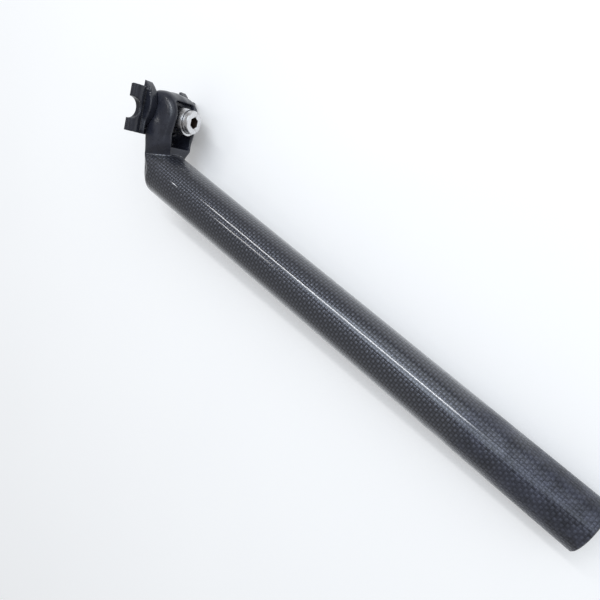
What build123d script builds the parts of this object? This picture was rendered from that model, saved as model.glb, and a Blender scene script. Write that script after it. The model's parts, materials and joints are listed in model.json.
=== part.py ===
# Bicycle seatpost: a carbon tube with a forged setback head, a one-bolt saddle clamp and its hardware.
# Units are millimetres. The post lies on its side as it would come to rest: +Z is up, +X runs down the
# tube to its open end, and +Y is the side that the head is set back to. The origin is the bottom centre
# of the whole part's bounding box.
from build123d import *
from math import atan, cos, degrees, radians, sin
import os

os.makedirs("parts", exist_ok=True)

# Tube
tube_dia = 27.2
tube_wall = 2.4
tube_length = 284.0
tube_end_chamfer = 0.5

# Head: a round arm that leaves the tube's top at an angle, with a shoulder and then a dome at its end
elbow_rise = 2.0
arm_angle = 57.7
arm_reach = 27.0
arm_root_radius = 13.2
shoulder_radius = 14.2
dome_root_radius = 13.9
dome_radius = 13.4
dome_back = 0.9
dome_drop = 7.3
collar_step = 0.25
spigot_length = 38.0
socket_step = 0.4
bond_gap = 0.1
arm_flat_depth = 1.8
arm_flat_slope = 8.0

# Cheeks: the two ribs under the head, with the bolt's channel between them
cheek_half_width = 13.0
cheek_round = 12.9
cheek_depth = 20.5
cheek_front = 19.0
cheek_edge_radius = 5.0
channel_half_width = 8.2
channel_back = 9.6
channel_front = 16.0

# Corners of the cheeks' keel: the root from the elbow, and the others from the cheeks' front and sole
keel_root_back = 8.0
keel_root_rise = 4.0
keel_toe_front = 2.0
keel_toe_rise = 5.3
keel_sole_front = 4.0
keel_sole_rise = 2.5

# Clamp frame: its origin lies on the bolt's axis, level with the tops of the rail trays
clamp_rise = 22.4
clamp_setback = 26.1
seat_angle = 20.0

# Saddle rails
rail_dia = 7.0
rail_spacing = 44.0
rail_height = 0.5

# Rocker: the round underside of the lower cradle. Its barrel turns in the head's seat, and a larger
# flange at each end of it hugs the head's side
rocker_radius = 16.0
barrel_radius = 12.5
rocker_offset = 3.0
rocker_height = 8.5
rocker_half_width = 18.0
flange_width = 6.0
flange_clearance = 0.1
rocker_fit = 0.08
seat_rim_drop = 0.8
head_web = 6.0
tilt_up = 15.0
tilt_down = 6.0

# Rail trays on the lower cradle
tray_half_length = 12.8
tray_half_width = 27.0
tray_lip = 2.2
tray_root_depth = 5.4
tray_root_width = 1.5
bite_radius = 5.9
bite_depth = 5.6
cradle_dish_depth = 1.0
cradle_dish_half_length = 9.5
cradle_dish_half_width = 13.0

# Upper clamp
clamp_gap = 1.0
finger_end = 23.0
finger_top = 6.2
finger_edge_drop = 2.0
finger_bevel = 4.0
waist_half_width = 14.5
boss_radius = 7.5
boss_top = 9.5

# Bolt and cup washer
bolt_dia = 8.0
bolt_head_dia = 13.0
bolt_head_height = 8.0
bolt_seat_depth = 17.0
bolt_end_height = 9.0
hex_across_flats = 6.0
hex_depth = 4.2
bolt_hole_clearance = 0.4
thread_clearance = 0.05
slot_clearance = 0.6
washer_dia = 15.8
washer_rim_depth = 21.6
washer_cup_clearance = 0.35
washer_flat = 6.8
small_edge = 0.4

elbow_height = tube_length + elbow_rise
clamp_height = elbow_height + clamp_rise
tube_radius = tube_dia / 2
bore_radius = tube_radius - tube_wall
socket_radius = bore_radius + socket_step
open_bore_length = tube_length - spigot_length
rail_radius = rail_dia / 2
bolt_radius = bolt_dia / 2
tray_overlap = 1.0
tray_inner = rocker_half_width - tray_overlap
flange_inner = rocker_half_width - flange_width

# Longer than anything at the clamp, so that a cutting shape passes right through
far = 60.0


def post_point(height, setback, side=0.0):
    """A point from its height up the tube, its setback and its distance to the upper side."""
    return Vector(-height, setback, side)


# The clamp plane: x runs to the saddle's rear, y up to the saddle, z out to the upper side
tilt = radians(seat_angle)
clamp_plane = Plane(
    origin=post_point(clamp_height, clamp_setback),
    x_dir=(-sin(tilt), cos(tilt), 0),
    z_dir=(0, 0, 1),
)
arm_direction = Vector(-cos(radians(arm_angle)), sin(radians(arm_angle)), 0)
elbow = post_point(elbow_height, 0)
shoulder = elbow + arm_direction * arm_reach
dome_centre = clamp_plane.from_local_coords(Vector(dome_back, -dome_drop, 0))


def placed(shape):
    """Moves a shape from the clamp's frame to the post's frame."""
    return clamp_plane.location * shape


def block(x_from, x_to, y_from, y_to, half_width):
    """A box in the clamp's frame, centred across the post."""
    box = Box(x_to - x_from, y_to - y_from, 2 * half_width)
    return Pos((x_from + x_to) / 2, (y_from + y_to) / 2, 0) * box


def side_block(x_from, x_to, y_from, y_to, z_from, z_to):
    """A box in the clamp's frame on one side of the post."""
    box = Box(x_to - x_from, y_to - y_from, z_to - z_from)
    return Pos((x_from + x_to) / 2, (y_from + y_to) / 2, (z_from + z_to) / 2) * box


def rocker_cylinder(radius, half_width):
    """A cylinder across the post about the axis that the clamp tilts on."""
    return Pos(rocker_offset, rocker_height, 0) * Cylinder(radius, 2 * half_width)


def flange_disc(radius, z_from, z_to):
    """A disc on one side of the post about the axis that the clamp tilts on."""
    return Pos(rocker_offset, rocker_height, (z_from + z_to) / 2) * Cylinder(radius, z_to - z_from)


def upright_cylinder(radius, y_from, y_to, x=0.0, z=0.0):
    """A cylinder in the clamp's frame whose axis points up to the saddle."""
    turned = Rot(-90, 0, 0) * Cylinder(radius, y_to - y_from)
    return Pos(x, (y_from + y_to) / 2, z) * turned


def both_sides(shape):
    """A shape and its mirror image across the post's middle plane."""
    return shape + mirror(shape, about=Plane.XY)


def rail_grooves():
    """The two round channels that the saddle's rails lie in."""
    groove = Rot(0, 90, 0) * Cylinder(rail_radius, 4 * tray_half_length)
    return both_sides(Pos(0, rail_height, rail_spacing / 2) * groove)


def make_tube():
    """The carbon tube, with its lower edge broken and a wider socket at the top for the spigot."""
    profile = Circle(tube_radius) - Circle(bore_radius)
    tube = extrude(profile, tube_length)
    lower_edge = tube.edges().group_by(Axis.Z)[0].sort_by(SortBy.RADIUS)[-1]
    tube = chamfer(lower_edge, tube_end_chamfer)
    tube -= Pos(0, 0, open_bore_length) * extrude(Circle(socket_radius), 2 * spigot_length)
    return Rot(0, -90, 0) * tube


def turned(start, end, start_radius, end_radius, domed):
    """A turned bar between two points, with a flat or a domed end."""
    reach = (end - start).length
    top = Vector(0, reach + (end_radius if domed else 0))
    lines = [Line((0, 0), (start_radius, 0)), Line((start_radius, 0), (end_radius, reach))]
    if domed:
        lines.append(CenterArc((0, reach), end_radius, 0, 90))
    else:
        lines.append(Line((end_radius, reach), top))
    lines.append(Line(top, (0, 0)))
    solid = revolve(Plane.XZ * make_face(Wire(lines)), Axis.Z)
    return Plane(origin=start, z_dir=end - start).location * solid


def make_cheeks():
    """The ribs under the head, as one rounded slab before its channel is cut."""
    root = clamp_plane.to_local_coords(elbow)
    round_end = Pos(dome_back, -dome_drop) * Circle(cheek_round)
    keel = Polygon(
        (root.X + keel_root_back, root.Y + keel_root_rise),
        (-cheek_front - keel_toe_front, -cheek_depth + keel_toe_rise),
        (-cheek_front + keel_sole_front, -cheek_depth + keel_sole_rise),
        align=None,
    )
    outline = make_hull(round_end.edges() + keel.edges())
    slab = extrude(outline, cheek_half_width, both=True)
    rims = slab.faces().sort_by(Axis.Z)[-1].edges() + slab.faces().sort_by(Axis.Z)[0].edges()
    return placed(fillet(rims, cheek_edge_radius))


def bolt_slot():
    """The slot that lets the bolt swing with the clamp."""
    half = bolt_radius + slot_clearance
    long_way = 3 * bolt_seat_depth
    pivot = Pos(rocker_offset, rocker_height, 0)
    shank = Pos(-rocker_offset, -long_way / 2, 0) * Rectangle(2 * half, long_way)
    front = pivot * Rot(0, 0, -tilt_up) * shank
    back = pivot * Rot(0, 0, tilt_down) * shank
    swept = make_hull((front + back).edges())
    return extrude(swept, half, both=True)


def make_head():
    """The forged head with its spigot, seat, channel and slot."""
    collar_start = post_point(tube_length, 0)
    collar_radius = tube_radius - collar_step
    head = turned(collar_start, elbow, collar_radius, collar_radius, True)
    head += turned(elbow, shoulder, arm_root_radius, shoulder_radius, True)
    head += turned(shoulder, dome_centre, dome_root_radius, dome_radius, True)
    head += make_cheeks()

    # The collar ends flat on the tube, so nothing of the head but the spigot is left below it
    below = Pos(-tube_length / 2, 0, 0) * Box(tube_length, 4 * tube_dia, 4 * tube_dia)
    head -= below
    spigot_radius = socket_radius - bond_gap
    spigot_start = post_point(open_bore_length + bond_gap, 0)
    head += turned(spigot_start, elbow, spigot_radius, spigot_radius, False)

    # Flat top of the arm under the clamp and the rim behind it, then the round seat of the rocker
    flat = Pos(-tray_half_length, -arm_flat_depth, 0) * Rot(0, 0, arm_flat_slope)
    head -= placed(flat * block(-far, far, 0, far, 2 * tube_dia))
    head -= placed(block(0, far, -seat_rim_drop, far, 2 * tube_dia))
    head -= placed(rocker_cylinder(barrel_radius + rocker_fit, 2 * tube_dia))
    flange_room = flange_disc(rocker_radius + rocker_fit, flange_inner - flange_clearance, tube_dia)
    head -= placed(both_sides(flange_room))

    # Channel of the bolt head and washer, with a round floor about the tilt axis
    floor_radius = rocker_radius + head_web
    channel = block(-channel_front, channel_back, -3 * cheek_depth, -head_web, channel_half_width)
    head -= placed(channel - rocker_cylinder(floor_radius, tube_dia))
    head -= placed(bolt_slot())
    return head


def make_lower_cradle():
    """The flanged rocker with a rail tray on each side, whose underside slopes out to a thin lip."""
    rocker = rocker_cylinder(barrel_radius, rocker_half_width)
    rocker += both_sides(flange_disc(rocker_radius, flange_inner, rocker_half_width))
    rocker &= block(-far, far, -far, 0, far)
    section = Polygon(
        (-tray_inner, 0),
        (-tray_half_width, 0),
        (-tray_half_width, -tray_lip),
        (-rocker_half_width - tray_root_width, -tray_root_depth),
        (-tray_inner, -tray_root_depth),
        align=None,
    )
    tray = Rot(0, 90, 0) * extrude(section, tray_half_length, both=True)
    bite = upright_cylinder(bite_radius, -far, far, z=tray_half_width - bite_depth + bite_radius)
    cradle = rocker + both_sides(tray - bite)
    cradle -= rail_grooves()
    length = cradle_dish_half_length
    cradle -= block(-length, length, -cradle_dish_depth, far, cradle_dish_half_width)
    cradle -= upright_cylinder(bolt_radius + bolt_hole_clearance, -far, far)
    return placed(cradle)


def make_upper_clamp():
    """The plate that closes on the rails with four fingers, threaded for the bolt."""
    half_section = Polygon(
        (0, clamp_gap),
        (finger_end, clamp_gap),
        (finger_end, finger_top - finger_edge_drop),
        (finger_end - finger_bevel, finger_top),
        (0, finger_top),
        align=None,
    )
    section = half_section + mirror(half_section, about=Plane.YZ)
    plate = extrude(section, tray_half_length, both=True)
    plate = Rot(0, 90, 0) * plate
    notch = upright_cylinder(bite_radius, -far, far, z=waist_half_width + bite_radius)
    notch += side_block(-bite_radius, bite_radius, -far, far, waist_half_width + bite_radius, far)
    plate -= both_sides(notch)
    plate -= rail_grooves()
    plate += upright_cylinder(boss_radius, clamp_gap, boss_top)
    plate -= upright_cylinder(bolt_radius, -far, far)
    return placed(plate)


def make_cup_washer():
    """The washer that holds the bolt's head, with a hollow top that slides on the channel's floor."""
    washer = upright_cylinder(washer_dia / 2, -washer_rim_depth, 0)
    washer -= rocker_cylinder(rocker_radius + head_web + rocker_fit, tube_dia)
    cup_radius = bolt_head_dia / 2 + washer_cup_clearance
    washer -= upright_cylinder(cup_radius, -3 * washer_rim_depth, -bolt_seat_depth)
    washer -= upright_cylinder(bolt_radius + bolt_hole_clearance, -far, far)
    washer -= side_block(washer_flat, far, -far, far, -far, far)
    return placed(washer)


def make_bolt():
    """The socket-head bolt, seated in the washer and threaded into the upper clamp."""
    head_end = -bolt_seat_depth - bolt_head_height
    bolt = upright_cylinder(bolt_head_dia / 2, head_end, -bolt_seat_depth)
    rim = bolt.edges().sort_by(Axis.Y)[0]
    bolt = chamfer(rim, small_edge)
    bolt += upright_cylinder(bolt_radius - thread_clearance, -bolt_seat_depth, bolt_end_height)
    socket = extrude(RegularPolygon(hex_across_flats / 2, 6, major_radius=False), hex_depth)
    bolt -= Pos(0, head_end, 0) * Rot(-90, 0, 0) * socket
    return placed(bolt)


def resting_turn():
    """The turn that brings the tray's lip and the tube's rim down on one level surface."""
    front = clamp_plane.from_local_coords(Vector(-tray_half_length, -tray_lip, 0))
    back = clamp_plane.from_local_coords(Vector(tray_half_length, -tray_lip, 0))
    drop = tray_half_width - tube_radius
    roll_share = (front.X - back.X) / (back.Y - front.Y)
    pitch = drop / (-front.X - roll_share * front.Y)
    roll = pitch * roll_share
    return Rot(degrees(atan(roll)), 0, 0) * Rot(0, degrees(atan(pitch)), 0)


nodes = {
    "carbon_tube": make_tube(),
    "head": make_head(),
    "lower_cradle": make_lower_cradle(),
    "upper_clamp": make_upper_clamp(),
    "cup_washer": make_cup_washer(),
    "clamp_bolt": make_bolt(),
}

# Lay the post down, then put the origin at the bottom centre of the whole part
turn = resting_turn()
laid = {name: turn * shape for name, shape in nodes.items()}
box = Compound(children=[Compound(shape.solids()) for shape in laid.values()]).bounding_box()
shift = Pos(-(box.min.X + box.max.X) / 2, -(box.min.Y + box.max.Y) / 2, -box.min.Z)
frame = shift * turn

for name, shape in laid.items():
    solids = (shift * shape).solids()
    export_step(solids[0] if len(solids) == 1 else Compound(solids), f"parts/{name}.step")
    print(name, len(solids), "solids", round(sum(solid.volume for solid in solids), 1), "mm3")


def report(label, start, step):
    """Prints a place and a direction in the finished frame."""
    point = (frame * start).position
    axis = (frame * start * step).position - point
    print(label, [round(v, 4) for v in point], [round(v, 6) for v in axis])


report("tilt axis", placed(Pos(rocker_offset, rocker_height, 0)), Pos(0, 0, 1))
report("rail upper", placed(Pos(0, rail_height, rail_spacing / 2)), Pos(1, 0, 0))
report("rail lower", placed(Pos(0, rail_height, -rail_spacing / 2)), Pos(1, 0, 0))
report("tube middle", Pos(-(tube_length + tube_end_chamfer) / 2, 0, 0), Pos(1, 0, 0))
report("bore middle", Pos(-open_bore_length / 2, 0, 0), Pos(1, 0, 0))
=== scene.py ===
import json
import math

import bmesh
import bpy
from mathutils import Matrix, Vector


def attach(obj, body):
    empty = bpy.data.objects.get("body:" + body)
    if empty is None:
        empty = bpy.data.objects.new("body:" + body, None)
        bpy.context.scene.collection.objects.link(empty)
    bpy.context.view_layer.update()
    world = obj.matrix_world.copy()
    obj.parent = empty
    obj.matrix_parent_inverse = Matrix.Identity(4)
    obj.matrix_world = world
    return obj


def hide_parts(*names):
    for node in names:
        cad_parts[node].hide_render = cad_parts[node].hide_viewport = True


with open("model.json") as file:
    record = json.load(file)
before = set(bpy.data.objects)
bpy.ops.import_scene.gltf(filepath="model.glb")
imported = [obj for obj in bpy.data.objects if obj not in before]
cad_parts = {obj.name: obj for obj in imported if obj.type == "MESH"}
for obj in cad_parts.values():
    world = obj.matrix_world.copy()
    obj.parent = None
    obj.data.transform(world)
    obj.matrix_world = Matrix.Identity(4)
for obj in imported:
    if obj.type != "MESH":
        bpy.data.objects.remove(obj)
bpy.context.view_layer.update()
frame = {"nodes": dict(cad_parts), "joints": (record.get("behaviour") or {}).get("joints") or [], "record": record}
nodes = frame["nodes"]

# Camera, at the photo's place
cameraView = {
    "place": (0.10274, 0.08379, 0.30232),
    "right": (0.70231, 0.52357, -0.48232),
    "up": (-0.61507, 0.78741, -0.04085),
    "back": (0.3584, 0.32535, 0.87504),
    "lens": 36.0,
    "sensor": 36.0,
}


def makeCamera(view):
    data = bpy.data.cameras.new("photoCamera")
    data.lens = view["lens"]
    data.sensor_width = view["sensor"]
    data.clip_start = 0.01
    data.clip_end = 20.0
    camera = bpy.data.objects.new("photoCamera", data)
    turn = Matrix((view["right"], view["up"], view["back"])).transposed().to_4x4()
    camera.matrix_world = Matrix.Translation(view["place"]) @ turn
    bpy.context.scene.collection.objects.link(camera)
    bpy.context.scene.camera = camera


makeCamera(cameraView)
print("camera made")


# The post's own axes, read from the record: down the tube, to the setback, and out to the upper side
mounts = {m["name"]: m for m in frame["record"]["mounts"]}
endMargin = 0.0005    # the outside mount stops this far short of the open end
tubeMiddle = Vector(mounts["tube_outside"]["pos_m"])
tubeLength = mounts["tube_outside"]["dims"]["length_mm"] / 1000
tubeRadius = mounts["tube_outside"]["dims"]["r_mm"] / 1000
downTube = Vector(mounts["tube_outside"]["axis"]).normalized()
outSide = Vector(frame["joints"][0]["axis"]).normalized()
toSetback = outSide.cross(downTube).normalized()
openEnd = tubeMiddle + downTube * (tubeLength / 2 + endMargin)
postTurn = Matrix((downTube, toSetback, outSide))

# The clamp's own axes: towards the saddle's rear, up to the saddle, and out to the upper side
railUpper = Vector(mounts["rail_upper"]["pos_m"])
railLower = Vector(mounts["rail_lower"]["pos_m"])
railMiddle = (railUpper + railLower) / 2
toRear = Vector(mounts["rail_upper"]["axis"]).normalized()
toSaddle = outSide.cross(toRear).normalized()
clampTurn = Matrix((toRear, toSaddle, outSide))
tiltPlace = clampTurn @ (Vector(frame["joints"][0]["pos_m"]) - railMiddle)


# A material's nodes, with short names for the ones used here
class Paint:
    def __init__(self, name):
        self.material = bpy.data.materials.new(name)
        self.material.use_nodes = True
        self.tree = self.material.node_tree
        self.shader = self.tree.nodes["Principled BSDF"]
        self.coordinates = self.add("ShaderNodeTexCoord").outputs["Object"]

    def add(self, kind, **settings):
        node = self.tree.nodes.new(kind)
        for key, value in settings.items():
            setattr(node, key, value)
        return node

    def join(self, value, socket):
        if isinstance(value, bpy.types.NodeSocket):
            self.tree.links.new(value, socket)
        elif isinstance(value, (tuple, list, Vector)) and len(socket.default_value) == 4:
            socket.default_value = (*value, 1.0)
        else:
            socket.default_value = value

    def maths(self, operation, first, second=0.0, clamp=False):
        node = self.add("ShaderNodeMath", operation=operation, use_clamp=clamp)
        self.join(first, node.inputs[0])
        self.join(second, node.inputs[1])
        return node.outputs[0]

    def distance(self, first, second):
        squares = [self.maths("MULTIPLY", value, value) for value in (first, second)]
        return self.maths("SQRT", self.maths("ADD", *squares))

    def cross(self, first, second):
        node = self.add("ShaderNodeVectorMath", operation="CROSS_PRODUCT")
        self.join(first, node.inputs[0])
        self.join(second, node.inputs[1])
        return node.outputs[0]

    def noise(self, scale, detail=3.0, roughness=0.5, at=None):
        node = self.add("ShaderNodeTexNoise")
        self.join(at or self.coordinates, node.inputs["Vector"])
        for name, value in (("Scale", scale), ("Detail", detail), ("Roughness", roughness)):
            node.inputs[name].default_value = value
        return node.outputs["Fac"]

    def spread(self, value, low, high, toLow=0.0, toHigh=1.0, smooth=False):
        node = self.add("ShaderNodeMapRange", clamp=True)
        if smooth:
            node.interpolation_type = "SMOOTHSTEP"
        for item, socket in zip((value, low, high, toLow, toHigh), node.inputs):
            self.join(item, socket)
        return node.outputs[0]

    def blend(self, share, first, second, colour=True):
        node = self.add("ShaderNodeMix", data_type="RGBA" if colour else "FLOAT")
        self.join(share, node.inputs[0])
        self.join(first, node.inputs[6 if colour else 2])
        self.join(second, node.inputs[7 if colour else 3])
        return node.outputs[2 if colour else 0]

    def set(self, **values):
        for name, value in values.items():
            self.join(value, self.shader.inputs[name.replace("_", " ")])

    def bump(self, height, strength, distance):
        node = self.add("ShaderNodeBump")
        node.inputs["Strength"].default_value = strength
        node.inputs["Distance"].default_value = distance
        self.join(height, node.inputs["Height"])
        self.join(node.outputs["Normal"], self.shader.inputs["Normal"])

    def along(self, turn, origin):
        node = self.add("ShaderNodeMapping")
        node.inputs["Rotation"].default_value = turn.to_euler("XYZ")
        node.inputs["Location"].default_value = -(turn @ origin)
        self.join(self.coordinates, node.inputs["Vector"])
        parts = self.add("ShaderNodeSeparateXYZ")
        self.join(node.outputs["Vector"], parts.inputs["Vector"])
        return parts.outputs


# Carbon: a plain weave of tows along and round the tube, under a clear coat that is scuffed at the open end, where
# pale bluish patches paint a sheen onto the scuffed coat.
# Lengths along and from the tube's axis are in mm, heights from the open end.
carbonFinish = {
    "towAlong": 1.755,
    "towsRound": 50,
    "crownAcross": 0.55,           # powers that shape each tow's crown
    "crownAlong": 0.8,
    "fibreStretch": (0.25, 9.0),   # noise cells for each tow, along its fibres and across them
    "valley": (0.005, 0.0055, 0.008),
    "alongTow": (0.110, 0.118, 0.150),
    "roundTow": (0.072, 0.078, 0.102),
    "metallic": 0.6,
    "anisotropic": 0.75,
    "roughness": 0.33,
    "relief": 0.00015,
    "fibreRelief": 0.15,
    "coatRoughness": 0.09,
    "coatIor": 1.55,
    "scuffStart": 95.0,
    "scuffFull": 22.0,
    "scuffWander": 28.0,
    "scuffCloud": (55.0, 5.0, 0.62),
    "scuffSheenPatches": (130.0, 6.0, 0.7),
    # dark scuffed coat, then pale bluish patches that are partly real scuff haze and partly a painted sheen
    "scuffAndSheenColours": ((0.026, 0.028, 0.040), (0.0884, 0.0952, 0.136)),
    "scuffAndSheenShare": 0.66,
    "scuffRoughness": 0.46,
    "scuffCoat": 0.3,
    "scratchAt": (268.0, 13.5),    # height, and degrees from the upper side towards the setback
    "scratchAlong": (2.9, 1.4),    # where it starts to show and shows in full, from its middle
    "scratchAcross": (0.26, 0.1),
    "scratchColour": (0.75, 0.75, 0.77),
    "outsideFrom": (13.2, 13.45),
    "insideColour": (0.02, 0.02, 0.022),
}


def addWeave(paint, settings):
    x, y, z = paint.along(postTurn, openEnd)
    height = paint.maths("MULTIPLY", x, -1000.0)
    angle = paint.maths("ARCTAN2", y, z)
    alongCells = paint.maths("DIVIDE", height, settings["towAlong"])
    roundCells = paint.maths("MULTIPLY", angle, settings["towsRound"] / math.tau)
    cells = paint.maths("ADD", paint.maths("FLOOR", alongCells), paint.maths("FLOOR", roundCells))
    isRound = paint.maths("PINGPONG", cells, 1.0)
    crowns = []
    for cell in (alongCells, roundCells):
        middle = paint.maths("SUBTRACT", paint.maths("FRACT", cell), 0.5)
        crowns.append(paint.maths("COSINE", paint.maths("MULTIPLY", middle, math.pi)))
    across = paint.blend(isRound, crowns[1], crowns[0], colour=False)
    lengthwise = paint.blend(isRound, crowns[0], crowns[1], colour=False)
    crown = paint.maths(
        "MULTIPLY",
        paint.maths("POWER", across, settings["crownAcross"]),
        paint.maths("POWER", lengthwise, settings["crownAlong"]),
    )

    # Fibres: fine streaks that run along each tow
    stretches = (settings["fibreStretch"], settings["fibreStretch"][::-1])
    fibres = []
    for alongScale, roundScale in stretches:
        place = paint.add("ShaderNodeCombineXYZ")
        paint.join(paint.maths("MULTIPLY", alongCells, alongScale), place.inputs[0])
        paint.join(paint.maths("MULTIPLY", roundCells, roundScale), place.inputs[1])
        fibres.append(paint.noise(1.0, 2.0, 0.6, place.outputs[0]))
    fibre = paint.blend(isRound, fibres[0], fibres[1], colour=False)

    # Grain: the gloss spreads across each tow's fibres
    normal = paint.add("ShaderNodeNewGeometry").outputs["Normal"]
    hoop = paint.cross(normal, downTube)
    grain = paint.add("ShaderNodeMix", data_type="VECTOR")
    paint.join(isRound, grain.inputs[0])
    paint.join(hoop, grain.inputs[4])
    paint.join(downTube, grain.inputs[5])
    return {
        "height": height, "angle": angle, "crown": crown, "isRound": isRound, "fibre": fibre,
        "grain": grain.outputs[1], "radius": paint.maths("MULTIPLY", paint.distance(y, z), 1000.0),
    }


def weaveColour(paint, weave, settings):
    tow = paint.blend(weave["isRound"], settings["alongTow"], settings["roundTow"])
    share = paint.maths("MULTIPLY", weave["crown"], paint.spread(weave["fibre"], 0.3, 0.7, 0.7, 1.0))
    return paint.blend(share, settings["valley"], tow)


def makeCarbon(settings):
    paint = Paint("carbonWeave")
    weave = addWeave(paint, settings)
    wander = settings["scuffWander"]
    cloud = paint.noise(*settings["scuffCloud"])
    reach = paint.maths("ADD", weave["height"], paint.spread(cloud, 0.3, 0.7, -wander, wander))
    scuff = paint.spread(reach, settings["scuffStart"], settings["scuffFull"], smooth=True)
    colour = weaveColour(paint, weave, settings)
    # Scuffed zone: dark scuffed coat mixed with pale bluish patches, partly real scuff haze and partly a painted
    # sheen
    sheenPatches = paint.spread(paint.noise(*settings["scuffSheenPatches"]), 0.42, 0.68)
    scuffAndSheen = paint.blend(sheenPatches, *settings["scuffAndSheenColours"])
    colour = paint.blend(paint.maths("MULTIPLY", scuff, settings["scuffAndSheenShare"]), colour, scuffAndSheen)

    # One short bright scratch by the head
    scratchHeight, scratchAngle = settings["scratchAt"]
    fromMiddle = paint.maths("ABSOLUTE", paint.maths("SUBTRACT", weave["height"], scratchHeight))
    turned = paint.maths("SUBTRACT", weave["angle"], math.radians(scratchAngle))
    aside = paint.maths("ABSOLUTE", paint.maths("MULTIPLY", turned, tubeRadius * 1000))
    scratch = paint.maths(
        "MULTIPLY",
        paint.spread(fromMiddle, *settings["scratchAlong"]),
        paint.spread(aside, *settings["scratchAcross"]),
    )
    colour = paint.blend(scratch, colour, settings["scratchColour"])

    outside = paint.spread(weave["radius"], *settings["outsideFrom"])
    colour = paint.blend(outside, settings["insideColour"], colour)
    paint.set(
        Base_Color=colour,
        Metallic=settings["metallic"],
        Anisotropic=settings["anisotropic"],
        Tangent=weave["grain"],
        Roughness=paint.blend(scuff, settings["roughness"], settings["scuffRoughness"], colour=False),
        Coat_Weight=paint.maths("MULTIPLY", outside, paint.spread(scuff, 0.0, 1.0, 1.0, settings["scuffCoat"])),
        Coat_Roughness=settings["coatRoughness"],
        Coat_IOR=settings["coatIor"],
    )
    fibreRelief = paint.maths("MULTIPLY", weave["fibre"], settings["fibreRelief"])
    relief = paint.maths("ADD", weave["crown"], fibreRelief)
    paint.bump(paint.maths("MULTIPLY", relief, outside), 1.0, settings["relief"])
    return paint.material


# Satin black of the head and clamp, with a blue tone and fine grain
satinFinish = {
    "colour": (0.015, 0.0165, 0.025),
    "mottle": (240.0, 4.0, 0.6),
    "mottleShade": 1.5,
    "roughness": (0.22, 0.35),
    "grain": 0.12,
    "weaveFrom": (294.5, 290.5),       # heights where the elbow's weave starts to show and shows in full, in mm
    "weaveRadius": (13.85, 13.66),
    "weaveSlant": -7.5,                # it starts lower away from the setback
    "weaveSlantLeast": -1.5,
}


def makeSatinBlack(name, settings, shade=1.0, woven=False):
    paint = Paint(name)
    mottle = paint.noise(*settings["mottle"])
    dark = tuple(c * shade for c in settings["colour"])
    light = tuple(c * settings["mottleShade"] for c in dark)
    colour = paint.blend(paint.spread(mottle, 0.35, 0.7), dark, light)
    roughness = paint.spread(mottle, 0.3, 0.7, *settings["roughness"])
    relief = paint.noise(2600.0, 2.0)
    if woven:    # the carbon runs on over the elbow
        weave = addWeave(paint, carbonFinish)
        slant = paint.maths("MULTIPLY", paint.maths("SINE", weave["angle"]), settings["weaveSlant"])
        slant = paint.maths("MAXIMUM", slant, settings["weaveSlantLeast"])
        nearTube = paint.spread(paint.maths("ADD", weave["height"], slant), *settings["weaveFrom"])
        share = paint.maths("MULTIPLY", nearTube, paint.spread(weave["radius"], *settings["weaveRadius"]))
        colour = paint.blend(share, colour, weaveColour(paint, weave, carbonFinish))
        relief = paint.blend(share, relief, weave["crown"], colour=False)
        paint.set(
            Coat_Weight=share,
            Coat_Roughness=carbonFinish["coatRoughness"],
            Coat_IOR=carbonFinish["coatIor"],
            Metallic=paint.maths("MULTIPLY", share, carbonFinish["metallic"]),
        )
    paint.set(Base_Color=colour, Roughness=roughness)
    paint.bump(relief, settings["grain"], 0.0001)
    return paint.material


# Bright plated steel of the bolt and washer, dulled and browned where dirt has settled; the hex socket's inside is
# painted dark, partly dirt and partly painted shade
steelFinish = {
    "colour": (0.68, 0.68, 0.69),
    "dirt": (0.20, 0.15, 0.11),
    "dirtShare": 0.55,
    "roughness": (0.27, 0.5),
    "socketDirtAndShade": (0.14, 0.11, 0.09),
    "socketRadius": 0.0037,
    "socketBelow": -0.0253,    # just under the bolt head's face, from the rails' middle
}


def makeBrightSteel(settings):
    paint = Paint("brightSteel")
    x, y, z = paint.along(clampTurn, railMiddle)
    # Inside the hex socket: a dark brown colour, partly dirt and partly painted shade in the recess
    inRadius = paint.maths("LESS_THAN", paint.distance(x, z), settings["socketRadius"])
    inSocket = paint.maths("MULTIPLY", inRadius, paint.maths("GREATER_THAN", y, settings["socketBelow"]))
    dirt = paint.spread(paint.noise(330.0, 5.0, 0.65), 0.52, 0.72)
    dirtShare = paint.maths("MULTIPLY", dirt, settings["dirtShare"])
    colour = paint.blend(dirtShare, settings["colour"], settings["dirt"])
    paint.set(
        Base_Color=paint.blend(inSocket, colour, settings["socketDirtAndShade"]),
        Metallic=1.0,
        Roughness=paint.spread(paint.maths("MAXIMUM", dirt, inSocket), 0.0, 1.0, *settings["roughness"]),
    )
    paint.bump(paint.noise(1500.0, 3.0, 0.6), 0.12, 0.0001)
    return paint.material


finishes = {
    "carbon_tube": makeCarbon(carbonFinish),
    "head": makeSatinBlack("satinHead", satinFinish, woven=True),
    "lower_cradle": makeSatinBlack("satinClamp", satinFinish, 0.9),
}
finishes["upper_clamp"] = finishes["lower_cradle"]
finishes["cup_washer"] = finishes["clamp_bolt"] = makeBrightSteel(steelFinish)
for name, node in nodes.items():
    node.data.materials.clear()
    node.data.materials.append(finishes[name])
print("materials made")


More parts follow.
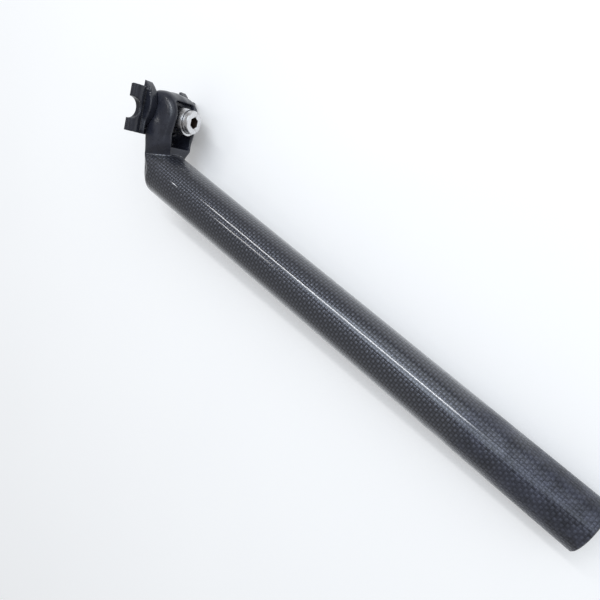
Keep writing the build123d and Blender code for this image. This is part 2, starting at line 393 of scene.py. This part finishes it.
# A dense, even copy of a CAD node's mesh, whose points can then be moved
def denseCopy(nodeName, newName, voxel):
    form = bmesh.new()
    form.from_mesh(nodes[nodeName].data)
    bmesh.ops.remove_doubles(form, verts=form.verts, dist=0.000002)
    data = bpy.data.meshes.new(newName)
    form.to_mesh(data)
    piece = bpy.data.objects.new(newName, data)
    bpy.context.scene.collection.objects.link(piece)
    remesh = piece.modifiers.new("skin", "REMESH")
    remesh.mode = "VOXEL"
    remesh.voxel_size = voxel
    view = bpy.context.evaluated_depsgraph_get()
    skin = bpy.data.meshes.new_from_object(piece.evaluated_get(view))
    piece.modifiers.clear()
    form.clear()
    form.from_mesh(skin)
    for face in form.faces:
        face.smooth = True
    return piece, form


def finishCopy(piece, form, nodeName, body):
    form.to_mesh(piece.data)
    form.free()
    piece.data.materials.clear()
    piece.data.materials.append(finishes[nodeName])
    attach(piece, body)
    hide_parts(nodeName)
    print(piece.name, "made,", len(piece.data.polygons), "faces")


def smoothVerts(form, verts, rounds):
    for _ in range(rounds):
        bmesh.ops.smooth_vert(form, verts=verts, factor=0.5, use_axis_x=True, use_axis_y=True, use_axis_z=True)


def smoothShare(value):
    value = min(max(value, 0.0), 1.0)
    return value * value * (3 - 2 * value)


# Head: the forged form, a blended copy of the CAD head. Its collar is flush with the tube, its toe ends in a
# slanted face, and the seat and the spigot stay as they are. Heights are from the open end, in m.
headForm = {
    "voxel": 0.00045,
    "softFrom": 0.2845,
    "seatRadius": 0.0166,
    "rounds": 34,
    "collarFrom": 0.2839,
    "collarRadius": 0.0125,    # inside it the spigot is left alone
    "collarSoftness": 0.0008,
    "underTube": 0.00003,
    "toeHeight": 0.2913,       # where the toe's face meets the setback below
    "toeSetback": 0.0099,
    "toeSlantOut": 0.893,
    "toeSlantAcross": 0.14,
    "toeSoftness": 0.0016,
    "lastBelow": 0.3,
    "lastRounds": 4,
}


def makeHead(settings):
    head, form = denseCopy("head", "forgedHead", settings["voxel"])
    soft = []
    for vert in form.verts:
        onPost = postTurn @ (vert.co - openEnd)
        onClamp = clampTurn @ (vert.co - railMiddle)
        fromTilt = math.hypot(onClamp.x - tiltPlace.x, onClamp.y - tiltPlace.y)
        if -onPost.x > settings["softFrom"] and fromTilt > settings["seatRadius"]:
            soft.append(vert)
    smoothVerts(form, soft, settings["rounds"])
    flush = tubeRadius - settings["underTube"]
    for vert in form.verts:
        onPost = postTurn @ (vert.co - openEnd)
        height, radius = -onPost.x, math.hypot(onPost.y, onPost.z)
        if height < settings["collarFrom"] or radius < settings["collarRadius"]:
            continue
        wanted = radius
        if radius < flush:
            share = smoothShare((radius - settings["collarRadius"]) / settings["collarSoftness"])
            wanted = radius + (flush - radius) * share
        elif radius > flush and onPost.y > 0:
            drop = settings["toeSlantOut"] * (onPost.y - settings["toeSetback"])
            toe = settings["toeHeight"] - drop + settings["toeSlantAcross"] * onPost.z
            share = smoothShare((height - toe) / settings["toeSoftness"])
            wanted = flush + (radius - flush) * share
        grow = wanted / radius
        vert.co = openEnd + postTurn.transposed() @ Vector((onPost.x, onPost.y * grow, onPost.z * grow))
    low = [v for v in soft if -(postTurn @ (v.co - openEnd)).x < settings["lastBelow"]]
    smoothVerts(form, low, settings["lastRounds"])
    finishCopy(head, form, "head", "post")


makeHead(headForm)


# Lower cradle: a copy of the CAD cradle whose trays are hollowed to a wall round each rail, so that the flange
# at each end of the barrel stands free. Levels are from the rails' middle, in m.
cradleForm = {
    "voxel": 0.00034,
    "flangeAt": 0.01805,
    "topLevel": -0.0005,
    "topMargin": 0.0001,
    "railRadius": 0.0035,
    "railMargin": 0.00015,
    "railWall": 0.00115,
    "lip": 0.00198,
    "trayRoot": -0.0059,      # the CAD tray's underside, level out to rootEnd and then rising
    "rootEnd": 0.0195,
    "rise": 0.0032,
    "riseOver": 0.0075,
    "rounds": 3,
}


def makeCradle(settings):
    cradle, form = denseCopy("lower_cradle", "flangedCradle", settings["voxel"])
    top = settings["topLevel"]
    halfSpacing = (railUpper - railLower).length / 2
    outer = settings["railRadius"] + settings["railWall"]
    for vert in form.verts:
        place = clampTurn @ (vert.co - railMiddle)
        side = abs(place.z)
        if side < settings["flangeAt"] or place.y > top - settings["topMargin"]:
            continue
        fromRail = side - halfSpacing
        if math.hypot(fromRail, place.y) < settings["railRadius"] + settings["railMargin"]:
            continue
        old = settings["trayRoot"] + max(side - settings["rootEnd"], 0.0) / settings["riseOver"] * settings["rise"]
        new = min(-math.sqrt(max(outer * outer - fromRail * fromRail, 0.0)), top - settings["lip"])
        depth = (place.y - top) / (old - top)
        place.y = top + min(depth, 1.0) * (new - top)
        vert.co = railMiddle + clampTurn.transposed() @ place
    smoothVerts(form, form.verts[:], settings["rounds"])
    finishCopy(cradle, form, "lower_cradle", "clamp")


makeCradle(cradleForm)


# Table, lamps and world
tableFinish = {
    "size": 6.0,
    "colours": ((0.90, 0.90, 0.905), (0.93, 0.93, 0.93)),
    "roughness": 0.18,
    "seenGlow": 0.16,
}


def makeTable(settings):
    bpy.ops.mesh.primitive_plane_add(size=settings["size"])
    table = bpy.context.object
    table.name = "table"
    paint = Paint("tableTop")
    haze = paint.noise(9.0, 3.0, 0.5)
    paths = paint.add("ShaderNodeLightPath").outputs
    seen = paint.maths("ADD", paths["Is Camera Ray"], paths["Is Glossy Ray"])
    seen = paint.maths("ADD", seen, paths["Is Transmission Ray"], clamp=True)
    paint.set(
        Base_Color=paint.blend(haze, *settings["colours"]),
        Roughness=settings["roughness"],
        Emission_Color=(1.0, 1.0, 1.0),
        Emission_Strength=paint.maths("MULTIPLY", seen, settings["seenGlow"]),
    )
    table.data.materials.append(paint.material)


makeTable(tableFinish)


def makeLamp(name, place, aim, size, radiance, colour=(1.0, 1.0, 1.0)):
    data = bpy.data.lights.new(name, "AREA")
    data.shape = "RECTANGLE"
    data.size, data.size_y = size
    data.energy = radiance * math.pi * size[0] * size[1]
    data.color = colour
    lamp = bpy.data.objects.new(name, data)
    lamp.location = place
    lamp.rotation_mode = "QUATERNION"
    lamp.rotation_quaternion = (Vector(aim) - Vector(place)).to_track_quat("-Z", "Y")
    bpy.context.scene.collection.objects.link(lamp)


lamps = {
    "longLamp": {
        "place": (-0.27, 0.573, 1.0),
        "aim": (-0.27, 0.0, 0.02),
        "size": (0.86, 0.07),
        "radiance": 16.0,
    },
    "shortLamp": {
        "place": (-0.482, 0.12, 1.0),
        "aim": (-0.402, -0.065, 0.0),
        "size": (0.18, 0.045),
        "radiance": 14.0,
    },
    "softWindow": {
        "place": (0.45, 1.15, 1.0),
        "aim": (0.0, 0.0, 0.0),
        "size": (1.7, 1.1),
        "radiance": 0.9,
        "colour": (0.84, 0.92, 1.0),
    },
    "skyWindow": {
        "place": (0.02, 0.46, 1.05),
        "aim": (-0.225, 0.025, 0.0),
        "size": (0.92, 0.5),
        "radiance": 2.8,
        "colour": (0.78, 0.88, 1.0),
    },
}
for name, lamp in lamps.items():
    makeLamp(name, **lamp)


def makeWorld(strength):
    world = bpy.data.worlds.new("studio")
    world.use_nodes = True
    sky = world.node_tree.nodes["Background"]
    sky.inputs["Color"].default_value = (1.0, 1.0, 1.0, 1.0)
    sky.inputs["Strength"].default_value = strength
    bpy.context.scene.world = world


makeWorld(0.43)
bpy.context.scene.view_settings.view_transform = "Standard"
print("table and light made")
